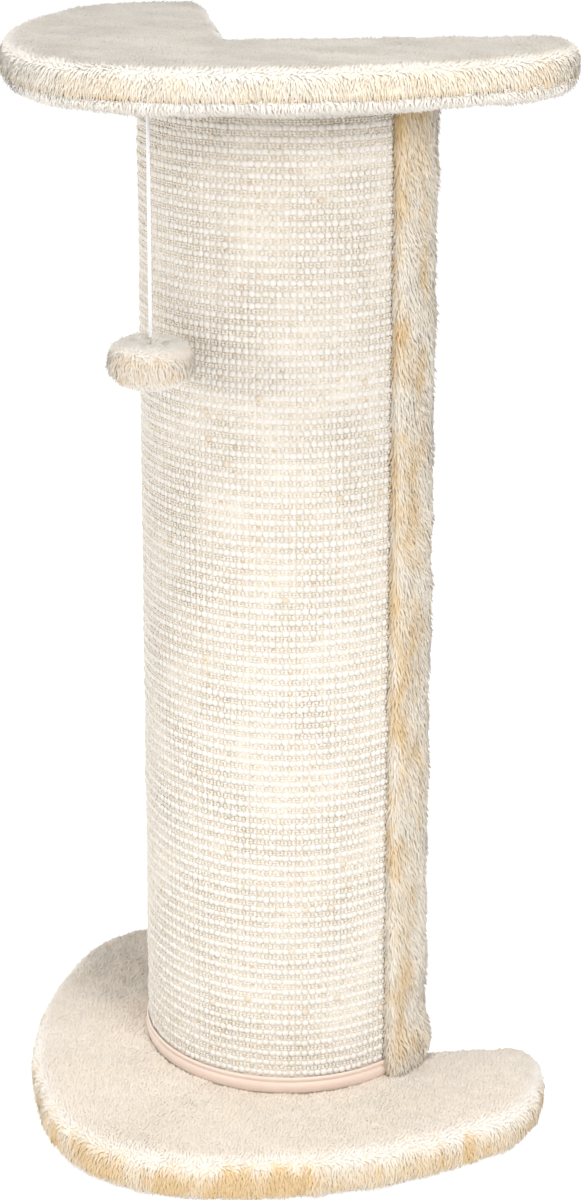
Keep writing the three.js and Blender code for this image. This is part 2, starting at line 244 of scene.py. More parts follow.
def lofted(name, rings):
    # a closed body through rings of points, each ring anticlockwise seen from the far end
    rings = np.asarray(rings, float)
    rows, count = rings.shape[:2]
    faces = []
    for k in range(rows - 1):
        low, high = k * count, (k + 1) * count
        for i in range(count):
            j = (i + 1) % count
            faces.append((low + i, low + j, high + j, high + i))
    faces.append(tuple(reversed(range(count))))
    faces.append(tuple(range((rows - 1) * count, rows * count)))
    return pieceFrom(name, rings.reshape(-1, 3), faces)


def tubeAlong(name, path, radiusAt, sides):
    # a tube along a path; radiusAt(step, angle) gives its radius
    path = [Vector(p) for p in path]
    last = len(path) - 1
    side = Vector((1, 0, 0))
    angles = [2 * math.pi * i / sides for i in range(sides)]
    rings = []
    for k, point in enumerate(path):
        ahead = (path[min(k + 1, last)] - path[max(k - 1, 0)]).normalized()
        if abs(ahead.dot(side)) > 0.99:
            side = Vector((0, 1, 0))
        side = (side - ahead * ahead.dot(side)).normalized()
        across = ahead.cross(side)
        rings.append([
            point + (side * math.cos(a) + across * math.sin(a)) * radiusAt(k, a) for a in angles
        ])
    return lofted(name, rings)


def softCore(node, voxel, smoothing):
    # a closed skin of even faces, from a copy of the CAD solid
    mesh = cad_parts[node].data.copy()
    shape = bmesh.new()
    shape.from_mesh(mesh)
    bmesh.ops.remove_doubles(shape, verts=shape.verts, dist=1e-6)
    shape.to_mesh(mesh)
    shape.free()
    mesh.materials.clear()
    piece = bpy.data.objects.new(node + "_skin", mesh)
    bpy.context.collection.objects.link(piece)
    remesh = piece.modifiers.new("even", "REMESH")
    remesh.mode = "VOXEL"
    remesh.voxel_size = voxel
    remesh.use_smooth_shade = True
    smooth = piece.modifiers.new("smooth", "SMOOTH")
    smooth.factor = 0.5
    smooth.iterations = smoothing
    return settle(piece)


def reportTriangles(piece):
    triangles = sum(len(face.vertices) - 2 for face in piece.data.polygons)
    print(piece.name, "made,", triangles, "triangles")


def hexColour(text):
    parts = [int(text[i:i + 2], 16) / 255 for i in (1, 3, 5)]
    return (*[((c + 0.055) / 1.055) ** 2.4 if c > 0.04045 else c / 12.92 for c in parts], 1.0)


# materials

def startMaterial(name):
    material = bpy.data.materials.new(name)
    material.use_nodes = True
    material.node_tree.nodes.clear()
    return material, Graph(material.node_tree)


def endMaterial(graph, sockets):
    shader = graph.node("ShaderNodeBsdfPrincipled", None, sockets)
    graph.node("ShaderNodeOutputMaterial", None, {"Surface": shader})


def bump(graph, height, distance, strength=1.0):
    return graph.node("ShaderNodeBump", None, {"Strength": strength, "Distance": distance, "Height": height})


def objectPlace(graph):
    return graph.node("ShaderNodeTexCoord", None, None, "Object")


plushLook = dict(
    tipTop=hexColour("#F6EEE4"),
    # painted shade: the root colours stand for shade deep in the pile
    rootShadeTop=hexColour("#EEE0CE"),
    cloudShadeTop=hexColour("#EBE1D4"),  # painted shade, in clouds where the pile of a top face lies the other way
    tipSide=hexColour("#FBF4E9"),
    rootShadeSide=hexColour("#F8ECD7"),
    # painted highlight of the rolled edge
    fringe=hexColour("#FFFBF5"),
    tan=hexColour("#EBCB99"),
    roughness=0.9,
    sheen=0.3,
)
# painted shade: the top board's top faces are painted greyer than the base's, for the light that only grazes
# them
greyShadedTopLook = {
    **plushLook,
    "tipTop": hexColour("#D0CAC0"),
    "rootShadeTop": hexColour("#C6BEB2"),
    "cloudShadeTop": hexColour("#B8B0A4"),
}


def plushMaterial(
    name, look, patchShape=(24, 24, 14), tanShare=0.5, topTan=0.1, grooveShade=0.2, zones=(), paleRear=None,
):
    material, graph = startMaterial(name)
    place = objectPlace(graph)
    tip = graph.attribute("tip")
    slope = graph.attribute("side")
    ragged = graph.noise(graph.stretched(place, (110, 110, 60)), 1.0, 2.0)
    side = graph.step(slope + (ragged - 0.5) * 0.7, 0.2, 0.8)
    # painted shade: each lock is painted darker and warmer at its root than at its tip
    top = graph.mix(tip, look["rootShadeTop"], look["tipTop"])
    # painted shade: darker clouds on the top faces, where the pile lies the other way
    cloudShade = graph.noise(graph.stretched(place, (16, 26, 16)), 1.0, 3.0, 0.6)
    top = graph.mix(graph.step(cloudShade, 0.32, 0.68), top, look["cloudShadeTop"])
    flank = graph.mix(tip, look["rootShadeSide"], look["tipSide"])
    # painted light and shade: top faces and sides of the same plush get separate colours, for how the light
    # falls on each
    colour = graph.mix(side, top, flank)
    # painted highlight: the rolled edge between top and side is painted paler, where it catches the light
    fringe = graph.step(slope, 0.08, 0.35) * (1 - graph.step(slope, 0.45, 0.8))
    colour = graph.mix(fringe * 0.5, colour, look["fringe"])
    patches = graph.noise(graph.stretched(place, patchShape), 1.0, 3.0, 0.55)
    share = side * (tanShare - topTan) + topTan
    tanAndShade = graph.step(patches, 0.38, 0.72) * share * (1.25 - tip * 0.75)
    # and the hollows between the clumps are painted tan, as painted shade
    hollowShade = 1 - graph.step(graph.attribute("clump"), 0.3, 0.55)
    tanAndShade = tanAndShade + hollowShade * side * grooveShade * (1.2 - tip * 0.7)
    height = graph.separate(place).other("Z")
    for low, high, amount in zones:
        # a band of height painted more tan: painted shade in the seam's crease and where the strips meet the
        # top board, and a tan band along the base's sides
        middle, half = (low + high) / 2, (high - low) / 2
        band = 1 - graph.step(graph.math("ABSOLUTE", height - middle), half * 0.4, half)
        tanAndShade = tanAndShade + band * side * amount
    # painted light and shade across a strip: its tan fades towards the rear edge
    if paleRear:
        rear = graph.step(graph.separate(place).other("Y") + (ragged - 0.5) * 0.012, *paleRear)
        tanAndShade = tanAndShade * (1 - rear * 0.75)
    colour = graph.mix(graph.math("MINIMUM", tanAndShade, 0.95), colour, look["tan"])
    shade = 0.96 + graph.attribute("tone") * 0.05
    grey = graph.combine(shade, shade, shade)
    colour = graph.mix(1.0, colour, grey, "MULTIPLY")
    endMaterial(graph, {
        "Base Color": colour,
        "Roughness": look["roughness"],
        "Sheen Weight": look["sheen"],
        "Sheen Roughness": 0.4,
        "Specular IOR Level": 0.2,
    })
    return material


def threadMaterial(name, pale, deep, scale, roughness=0.85, spots=None):
    # sisal and string: strands of slightly different colours
    material, graph = startMaterial(name)
    place = objectPlace(graph)
    tone = graph.attribute("tone")
    broad = graph.noise(place, 14.0, 3.0)
    mixFactor = graph.step(tone * 0.7 + broad * 0.5, 0.45, 1.05)
    colour = graph.mix(mixFactor, hexColour(pale), hexColour(deep))
    if spots:
        dark = graph.step(tone, 0.988, 0.996) * 0.4
        colour = graph.mix(dark, colour, hexColour(spots))
    strands = graph.noise(graph.stretched(place, (scale, scale, scale * 0.3)), 1.0, 2.0)
    colour = graph.mix(graph.step(strands, 0.55, 0.75) * 0.25, colour, hexColour(deep))
    endMaterial(graph, {
        "Base Color": colour,
        "Roughness": roughness,
        "Specular IOR Level": 0.25,
        "Normal": bump(graph, strands, 0.0004, 0.6),
    })
    return material


def satinMaterial():
    material, graph = startMaterial("satin tape")
    place = objectPlace(graph)
    weave = graph.noise(graph.stretched(place, (900, 900, 3000)), 1.0, 1.0)
    cloud = graph.noise(place, 40.0, 2.0)
    colour = graph.mix(cloud, hexColour("#F3DFD0"), hexColour("#EFD5C4"))
    endMaterial(graph, {
        "Base Color": colour,
        "Roughness": 0.38 + weave * 0.15,
        "Sheen Weight": 0.3,
        "Normal": bump(graph, weave, 0.0001, 0.5),
    })
    return material


def chipboardMaterial():
    material, graph = startMaterial("chipboard")
    place = objectPlace(graph)
    chips = graph.node("ShaderNodeTexVoronoi", {"feature": "F1"}, {"Vector": place, "Scale": 420.0}, "Color")
    chip = graph.separate(chips)
    dust = graph.noise(place, 900.0, 3.0)
    colour = graph.node("ShaderNodeValToRGB", {"stops": [
        (0.0, hexColour("#8E6B42")), (0.45, hexColour("#B98F5D")), (1.0, hexColour("#DDBB86")),
    ]}, {"Fac": chip * 0.75 + dust * 0.3})
    endMaterial(graph, {
        "Base Color": colour,
        "Roughness": 0.75 + dust * 0.2,
        "Normal": bump(graph, chip + dust, 0.0003, 0.5),
    })
    return material


def cardboardMaterial():
    material, graph = startMaterial("cardboard tube")
    place = objectPlace(graph)
    parts = graph.separate(place)
    # spiral plies of the wound tube
    turn = graph.math("ARCTAN2", parts, parts.other("Y") - axisY)
    climb = graph.math("FRACT", turn / (2 * math.pi) + parts.other("Z") / 0.11)
    seam = graph.step(graph.math("ABSOLUTE", climb - 0.5), 0.488, 0.497)
    pulp = graph.noise(graph.stretched(place, (300, 300, 60)), 1.0, 4.0)
    colour = graph.mix(pulp, hexColour("#A9835A"), hexColour("#C7A278"))
    colour = graph.mix(seam * 0.5, colour, hexColour("#7C5C3A"))
    endMaterial(graph, {
        "Base Color": colour,
        "Roughness": 0.8 + pulp * 0.15,
        "Normal": bump(graph, pulp - seam, 0.0004, 0.5),
    })
    return material


def steelMaterial():
    material, graph = startMaterial("zinc plated steel")
    place = objectPlace(graph)
    bloom = graph.noise(place, 260.0, 4.0)
    colour = graph.mix(bloom, hexColour("#B5B8BC"), hexColour("#D2D3D1"))
    endMaterial(graph, {
        "Base Color": colour,
        "Metallic": 1.0,
        "Roughness": 0.28 + bloom * 0.22,
        "Normal": bump(graph, bloom, 0.0001, 0.3),
    })
    return material


# camera

cameraValues = dict(
    spot=(1.082387, -1.271402, 0.960254),
    turn=39.335,  # degrees to the right of the front
    dip=14.528,
    lens=78.578,
    shiftX=0.012068,
    shiftY=-0.187288,
)


def makeCamera(values):
    lens = bpy.data.cameras.new("camera")
    lens.lens = values["lens"]
    lens.shift_x = values["shiftX"]
    lens.shift_y = values["shiftY"]
    lens.clip_end = 60
    camera = bpy.data.objects.new("camera", lens)
    camera.location = values["spot"]
    camera.rotation_euler = (math.radians(90 - values["dip"]), 0, math.radians(values["turn"]))
    bpy.context.collection.objects.link(camera)
    bpy.context.scene.camera = camera


makeCamera(cameraValues)
print("camera placed")


# string, loop and knot

stringValues = dict(
    points=22,
    steps=220,
    sides=18,
    plies=3,
    plyDepth=0.09,  # share of the radius
    layLength=0.0085,  # height of one turn of the plies
)


def makeString(values):
    low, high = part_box("toy_string")
    diameter = high[0] - low[0]
    length = high[2] - low[2]
    middle = (low[1] + high[1]) / 2
    steps, plies = values["steps"], values["plies"]
    path = [(0, middle, high[2] - length * k / steps) for k in range(steps + 1)]

    def radiusAt(k, angle):
        turn = 2 * math.pi * length * k / steps / values["layLength"]
        ply = abs(math.cos(plies * (angle - turn) / 2))
        return diameter / 2 * (1 - values["plyDepth"] + values["plyDepth"] * ply)

    string = tubeAlong("string", path, radiusAt, values["sides"])
    string.data.materials.append(stringMaterial)
    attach(string, "toy")
    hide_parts("toy_string")
    route = [(0, middle, high[2] - length * k / (values["points"] - 1)) for k in range(values["points"])]
    return string, route, length, diameter


stringMaterial = threadMaterial("string", "#FAFAFC", "#E9E8EA", 1500)
toyString, stringRoute, stringLength, stringDiameter = makeString(stringValues)
print("string made")


# plush pile

def makePileTree():
    graph = geometryGraph("plush pile")
    core = graph.ask("Core", "Geometry")
    backing = graph.ask("Backing", "Object")
    bareWithin = graph.ask("Bare Within", "Float", 0.0035)
    bareBelow = graph.ask("Bare Below", "Float", -1.0)
    spacing = graph.ask("Spacing", "Float", 0.002)
    length = graph.ask("Length", "Float", 0.0065)
    width = graph.ask("Width", "Float", 0.0013)
    stand = graph.ask("Stand", "Float", 0.5)
    standTop = graph.ask("Stand On Top", "Float", 1.2)
    lay = graph.ask("Lay", "Float", 0.8)
    swirl = graph.ask("Swirl", "Float", 0.7)
    swirlScale = graph.ask("Swirl Scale", "Float", 30.0)
    stray = graph.ask("Stray", "Float", 0.12)
    comb = graph.ask("Comb", "Vector", (0, 0, -1))
    combTop = graph.ask("Comb On Top", "Vector", (0, 1, 0))
    clumpShape = graph.ask("Clump Shape", "Vector", (60, 60, 20))
    clumpDepth = graph.ask("Clump Depth", "Float", 0.001)
    rootTip = graph.ask("Core Tip", "Float", 0.3)
    plump = graph.ask("Plump", "Float", 0.0)
    fringe = graph.ask("Fringe", "Float", 0.0)
    fringeLevel = graph.ask("Fringe Level", "Float", 0.0)
    seamAt = graph.ask("Seam Level", "Float", -1.0)
    seamFill = graph.ask("Seam Fill", "Float", 0.0)
    seed = graph.ask("Seed", "Int", 1)
    material = graph.ask("Material", "Material")

    position = graph.node("GeometryNodeInputPosition")
    normal = graph.node("GeometryNodeInputNormal")
    carrier = graph.node(
        "GeometryNodeObjectInfo", {"transform_space": "RELATIVE"}, {"Object": backing}, "Geometry"
    )
    gap = graph.node("GeometryNodeProximity", {"target_element": "FACES"}, {"Geometry": carrier}, "Distance")
    outside = graph.step(gap, bareWithin, bareWithin * 1.4)
    clumps = graph.noise(graph.stretched(position, clumpShape), 1.0, 2.0, 0.5)
    upness = graph.math("ABSOLUTE", graph.separate(normal).other("Z"))

    # the skin swells at its clumps
    swell = graph.scaled(normal, ((clumps - 0.5) * 2 * clumpDepth + plump) * outside)
    # and closes most of the seam between two covers
    height = graph.separate(position).other("Z")
    nearSeam = 1 - graph.step(graph.math("ABSOLUTE", height - seamAt), 0.0005, 0.004)
    level = graph.vector("MULTIPLY", normal, (1.0, 1.0, 0.0))
    swell = graph.vector("ADD", swell, graph.scaled(level, nearSeam * seamFill))
    skin = graph.node("GeometryNodeSetPosition", None, {"Geometry": core, "Offset": swell})
    skin = graph.store(skin, "tip", rootTip)
    sideness = graph.node("GeometryNodeBlurAttribute", None, {"Value": 1 - upness, "Iterations": 8})
    skin = graph.store(skin, "side", sideness)
    skin = graph.store(skin, "tone", 0.5)
    skin = graph.store(skin, "clump", clumps)
    skin = graph.storeVector(skin, "nap", normal)

    chosen = graph.math("GREATER_THAN", outside, 0.5) * graph.math("GREATER_THAN", height, bareBelow)
    points = graph.node("GeometryNodeDistributePointsOnFaces", {"distribute_method": "POISSON"}, {
        "Mesh": skin, "Selection": chosen, "Distance Min": spacing, "Density Max": 1e6, "Seed": seed,
    }, "Points")
    rootNormal = points.other("Normal")

    # each lock lies along the comb, turned by the swirls, and stands up a little
    eddies = graph.noise(position, swirlScale, 1.0, 0.5, "Color")
    facing = graph.math("ABSOLUTE", graph.separate(rootNormal).other("Z"))
    topShare = graph.step(facing, 0.3, 0.8)
    eddies = graph.vector("SUBTRACT", eddies, (0.5, 0.5, 0.5))
    eddies = graph.scaled(eddies, swirl * 4 * (0.35 + topShare * 0.65))
    wild = graph.scaled(graph.randomVector(1.0, seed + 1), stray)
    combed = graph.vector("ADD", graph.scaled(comb, lay), graph.scaled(combTop, topShare))
    flat = graph.vector("ADD", graph.vector("ADD", combed, eddies), wild)
    flat = graph.vector("SUBTRACT", flat, graph.vector("PROJECT", flat, rootNormal))
    flat = graph.vector("NORMALIZE", flat)
    # along the fringe the locks hang straight down and hide the seam
    nearFringe = 1 - graph.step(graph.math("ABSOLUTE", height - fringeLevel), 0.002, 0.006)
    hang = graph.vector("SUBTRACT", (0.0, 0.0, -1.0), flat)
    flat = graph.vector("ADD", flat, graph.scaled(hang, nearFringe * graph.math("MINIMUM", fringe * 2, 1.0)))
    proud = graph.random(0.0, 1.0, seed + 5)
    base = stand + (standTop - stand) * topShare
    rising = base * (0.7 + proud * proud * proud * proud * 2.0)
    lean = graph.vector("ADD", graph.scaled(rootNormal, rising), flat)
    turned = graph.node("FunctionNodeAlignRotationToVector", {"axis": "Z"}, {"Vector": lean})
    turned = graph.node("FunctionNodeAlignRotationToVector", {"axis": "X", "pivot_axis": "Z"}, {
        "Rotation": turned, "Vector": flat,
    })

    # one lock of pile, closed and three-sided
    lock = graph.node("GeometryNodeMeshCone", {"fill_type": "NGON"}, {
        "Vertices": 3, "Side Segments": 1, "Fill Segments": 1, "Radius Top": 0.0,
        "Radius Bottom": width, "Depth": length,
    })
    lock = graph.store(lock, "tip", graph.separate(position).other("Z") / length)
    lock = graph.node("GeometryNodeSetShadeSmooth", None, {"Geometry": lock})

    cropped = (1 - topShare * 0.25) * (1 + nearFringe * fringe)
    tall = graph.random(0.75, 1.2, seed + 2) * (0.75 + clumps * 0.5) * cropped
    thick = graph.random(0.8, 1.25, seed + 3)
    tufts = graph.node("GeometryNodeInstanceOnPoints", None, {
        "Points": points, "Instance": lock, "Rotation": turned,
        "Scale": graph.combine(thick * 0.5, thick, tall),
    })
    tufts = graph.store(tufts, "tone", graph.random(0.0, 1.0, seed + 4), "INSTANCE")
    tufts = graph.store(tufts, "clump", clumps, "INSTANCE")
    tufts = graph.storeVector(tufts, "nap", rootNormal, "INSTANCE")
    return graph.answer(graph.realised(graph.join(skin, tufts), material))


pileTree = makePileTree()
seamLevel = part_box("top_under_cover")[1][2]

stripPile = dict(
    spacing=0.0012, length=0.0055, width=0.0012, stand=0.4, lay=0.8, comb=(0, 0, -1), swirl=0.5,
    clumpShape=(60, 60, 40), clumpDepth=0.002, bareWithin=0.0034, backing="post_tube", plump=0.0022,
    stray=0.25,
)
pileValues = {
    "top_cover": dict(
        spacing=0.00125, length=0.0048, width=0.0013, stand=0.22, standTop=0.3, lay=0.7, plump=0.001,
        stray=0.18, comb=(-0.1, 0, -0.9), combTop=(-0.3, 0.9, 0), swirl=0.4,
        seamAt=seamLevel, seamFill=0.0026, fringe=0.2, fringeLevel=seamLevel + 0.003,
        clumpShape=(45, 45, 45), clumpDepth=0.0009, bareWithin=0.0036, backing="top_board", seed=11,
    ),
    "top_under_cover": dict(
        spacing=0.00125, length=0.0045, width=0.0013, stand=0.22, lay=0.7, comb=(0, -0.05, -0.6), swirl=0.4,
        seamAt=seamLevel, seamFill=0.0026, stray=0.18,
        clumpShape=(42, 42, 42), clumpDepth=0.0018, bareWithin=0.0030, backing="top_board", seed=21,
    ),
    "base_cover": dict(
        spacing=0.00125, length=0.0048, width=0.0013, stand=0.24, standTop=0.26, lay=0.65, plump=0.001,
        stray=0.2, comb=(-0.1, 0, -0.8), combTop=(-0.3, 0.9, 0), swirl=0.45,
        clumpShape=(75, 75, 30), clumpDepth=0.0018, bareWithin=0.0036, bareBelow=0.0035,
        backing="base_board", seed=31,
    ),
    "right_side_strip": dict(**stripPile, seed=41),
    "left_side_strip": dict(**stripPile, seed=51),
}
skinVoxel = 0.0032
skinSmoothing = 2
skinShading = (0.7, 0.9)  # share that the locks take from the skin, on top faces and on sides
pileLabels = dict(
    spacing="Spacing", length="Length", stand="Stand", standTop="Stand On Top", lay="Lay", comb="Comb",
    clumpShape="Clump Shape", clumpDepth="Clump Depth", bareWithin="Bare Within", bareBelow="Bare Below",
    seed="Seed", width="Width", swirl="Swirl", swirlScale="Swirl Scale", stray="Stray", plump="Plump",
    combTop="Comb On Top", seamAt="Seam Level", seamFill="Seam Fill",
    fringe="Fringe", fringeLevel="Fringe Level",
)


def growPile(piece, values, material):
    backing = values["backing"]
    settings = {pileLabels[key]: value for key, value in values.items() if key in pileLabels}
    runTree(pileTree, piece, {"Backing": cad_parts[backing], "Material": material, **settings})


def softenShading(piece, topShare, sideShare):
    # the locks take most of their shading from the skin that they grow on
    mesh = piece.data
    count = len(mesh.vertices)
    nap, own = np.empty(count * 3), np.empty(count * 3)
    mesh.attributes["nap"].data.foreach_get("vector", nap)
    mesh.vertices.foreach_get("normal", own)
    side = np.empty(count)
    mesh.attributes["side"].data.foreach_get("value", side)
    share = np.repeat(topShare + (sideShare - topShare) * side, 3)
    blend = (nap * share + own * (1 - share)).reshape(-1, 3)
    blend /= np.linalg.norm(blend, axis=1, keepdims=True) + 1e-9
    mesh.attributes.remove(mesh.attributes["nap"])
    mesh.normals_split_custom_set_from_vertices([tuple(map(float, n)) for n in blend])


def keepAbove(piece, lowest):
    # presses a piece flat where it rests on something
    places = np.empty(len(piece.data.vertices) * 3)
    piece.data.vertices.foreach_get("co", places)
    places[2::3] = np.maximum(places[2::3], lowest)
    piece.data.vertices.foreach_set("co", places)
    piece.data.update()


stripShape = dict(
    footBulge=0.006,  # the strips swell where they meet the base
    footReach=0.014,
    headFlare=0.0016,  # and a little under the top board
    headReach=0.02,
    wander=0.0012,
    wanderScale=22,
    movesFrom=0.002,  # only what lies this far outside the tube moves
    matBlend=0.08,  # radians over which the swelling starts beside the mat
)


def swellStrip(piece, values):
    footLevel = postBottom + values["footReach"]
    for vertex in piece.data.vertices:
        place = vertex.co
        out = Vector((place.x, place.y - axisY))
        if out.length < tubeRadius + values["movesFrom"]:
            continue
        swell = values["footBulge"] * math.exp(-(((place.z - footLevel) / values["footReach"]) ** 2))
        swell += values["headFlare"] * math.exp(-(((postTop - place.z) / values["headReach"]) ** 2))
        swell += values["wander"] * noise.noise(place * values["wanderScale"])
        # nothing moves beside the mat
        turn = math.atan2(abs(out.x), -out.y) - matHalfAngle
        swell *= min(max(turn / values["matBlend"], 0), 1)
        vertex.co += vertex.normal * swell


def makeCover(name, node, material):
    piece = softCore(node, skinVoxel, skinSmoothing)
    piece.name = name
    if "strip" in node:
        swellStrip(piece, stripShape)
    growPile(piece, pileValues[node], material)
    keepAbove(piece, 0.0)
    softenShading(piece, *skinShading)
    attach(piece, "stand")
    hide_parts(node)
    reportTriangles(piece)


# the tan band at the seam is painted shade in its crease
coverPlush = plushMaterial(
    "plush of the top board", greyShadedTopLook, tanShare=0.4, zones=[(seamLevel - 0.002, seamLevel + 0.003, 0.3)],
)
# painted light: the faces under the top board get the palest colours, against the board's shade
paleLitUnderLook = {**plushLook, "tipTop": plushLook["fringe"], "cloudShadeTop": plushLook["tipSide"]}
underPlush = plushMaterial("plush under the top board", paleLitUnderLook, tanShare=0.3, grooveShade=0.1)
basePlush = plushMaterial(
    "plush of the base", plushLook, tanShare=0.65, grooveShade=0.7, zones=[(-0.026, 0.026, 0.4)],
)
stripFront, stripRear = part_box("right_side_strip")[0][1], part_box("right_side_strip")[1][1]
stripPlush = plushMaterial(
    "plush of the strips", plushLook, tanShare=0.85, grooveShade=0.4, patchShape=(45, 45, 24),
    # painted shade where the strips meet the top board
    zones=[(postTop - 0.06, postTop + 0.06, 0.4)],
    # the strips' tan fades towards the rear edge, as painted light and shade
    paleRear=(stripFront * 0.45 + stripRear * 0.55, stripFront * 0.3 + stripRear * 0.7),
)
makeCover("topPlush", "top_cover", coverPlush)
makeCover("topUnderPlush", "top_under_cover", underPlush)
makeCover("basePlush", "base_cover", basePlush)
makeCover("rightStrip", "right_side_strip", stripPlush)
makeCover("leftStrip", "left_side_strip", stripPlush)


# pompom

pompomValues = dict(
    spacing=0.0009, length=0.0045, width=0.001, stand=0.45, standTop=0.35, stray=0.2, lay=0.8,
    comb=(0, 0, -1), swirl=0.5, swirlScale=60, clumpShape=(110, 110, 110), clumpDepth=0.0012,
    bareWithin=0.0012, backing="toy_string", seed=61,
    voxel=0.0016, smoothing=3, shading=(0.8, 0.9), creases=5, creaseDepth=0.0034, creaseReach=0.014,
    pinHollow=0.93,  # pinned above this nearness to the string, which is 1 at its middle
    pinFolds=0.6,  # and above this depth of a fold, which is 1 at its deepest
    slack=0.0015,  # how much smaller the skin starts
    pressure=4.0, frames=20, mostSwell=0.0032,
)


def puffUp(piece, values, pinned):
    # a short cloth simulation fills the skin; pinned points stay where they are
    start = [vertex.co.copy() for vertex in piece.data.vertices]
    for vertex, place in zip(piece.data.vertices, start):
        vertex.co = place - vertex.normal * values["slack"]
    group = piece.vertex_groups.new(name="pinned")
    group.add(pinned, 1.0, "REPLACE")
    cloth = piece.modifiers.new("cloth", "CLOTH")
    cloth.settings.use_pressure = True
    cloth.settings.uniform_pressure_force = values["pressure"]
    cloth.settings.effector_weights.gravity = 0
    cloth.settings.vertex_group_mass = "pinned"
    scene = bpy.context.scene
    for step in range(1, values["frames"] + 1):
        scene.frame_set(step)
    settle(piece)
    scene.frame_set(1)
    for vertex, place in zip(piece.data.vertices, start):
        move = vertex.co - place
        if move.length > values["mostSwell"]:
            vertex.co = place + move.normalized() * values["mostSwell"]


def makePompom(values):
    low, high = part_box("toy_pompom")
    middle = Vector([(a + b) / 2 for a, b in zip(low, high)])
    piece = softCore("toy_pompom", values["voxel"], values["smoothing"])
    piece.name = "pompom"
    # creases run into the hollow where the string pulls the plush in
    pinned = []
    for vertex in piece.data.vertices:
        out = Vector((vertex.co.x - middle.x, vertex.co.y - middle.y))
        if vertex.co.z < middle.z:
            continue
        angle = math.atan2(out.y, out.x)
        fold = 0.5 + 0.5 * math.cos(values["creases"] * angle + 2 * math.sin(2 * angle + 1))
        near = math.exp(-((out.length / values["creaseReach"]) ** 2))
        vertex.co.z -= values["creaseDepth"] * fold * near
        if near > values["pinHollow"] or fold * near > values["pinFolds"]:
            pinned.append(vertex.index)
    puffUp(piece, values, pinned)
    growPile(piece, values, pompomPlush)
    softenShading(piece, *values["shading"])
    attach(piece, "toy")
    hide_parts("toy_pompom")
    reportTriangles(piece)
    return piece


pompomTip = hexColour("#FAF2E6")
# painted light: the pompom's top is painted brighter than its sides, where the top board shades it
pompomLitTopLook = {
    **plushLook,
    "tipTop": hexColour("#FFFCF7"),
    "cloudShadeTop": hexColour("#FEF9F1"),
    "rootShadeTop": hexColour("#FCF5EA"),
    "tipSide": pompomTip,
    "rootShadeSide": hexColour("#F4E5D0"),
    "fringe": pompomTip,
}
pompomPlush = plushMaterial("plush of the pompom", pompomLitTopLook, (34, 34, 34), tanShare=0.75, topTan=0.1)
pompom = makePompom(pompomValues)


# woven sisal

sisalValues = dict(
    pitch=0.0076,  # height of one row
    firstRow=0.34,  # place of the lowest row above the tape, in rows
    groundSides=110,
    backSides=22,
    stepsPerRow=3,
    groundDepth=1.35,  # of the ground behind the mat's face, in knot depths
    tubeGap=0.0003,
    ridge=0.0007,
    tooth=0.0012,  # how far the rows stick out at the mat's edges
    columnWidth=0.0044,
    knotSize=(0.0027, 0.0012, 0.0026),  # half width, depth and height
    knotProud=0.0002,  # centres in front of the ground
    weftSize=(0.00145, 0.0009, 0.00095),
    weftProud=0.0001,
    weftRise=0.0015,
    weftPerKnot=1.7,
    edgeSize=(0.0013, 0.0011, 0.0015),
    edgeProud=0.0012,
    fibreCount=260,
)


def roundTube(graph, geometry, radius):
    # bends a flat piece, drawn in X and Z and facing -Y, round the post
    parts = graph.separate(graph.node("GeometryNodeInputPosition"))
    angle = parts / radius
    reach = radius - parts.other("Y")
    place = graph.combine(
        reach * graph.math("SINE", angle),
        axisY - reach * graph.math("COSINE", angle),
        parts.other("Z"),
    )
    return graph.node("GeometryNodeSetPosition", None, {"Geometry": geometry, "Position": place})


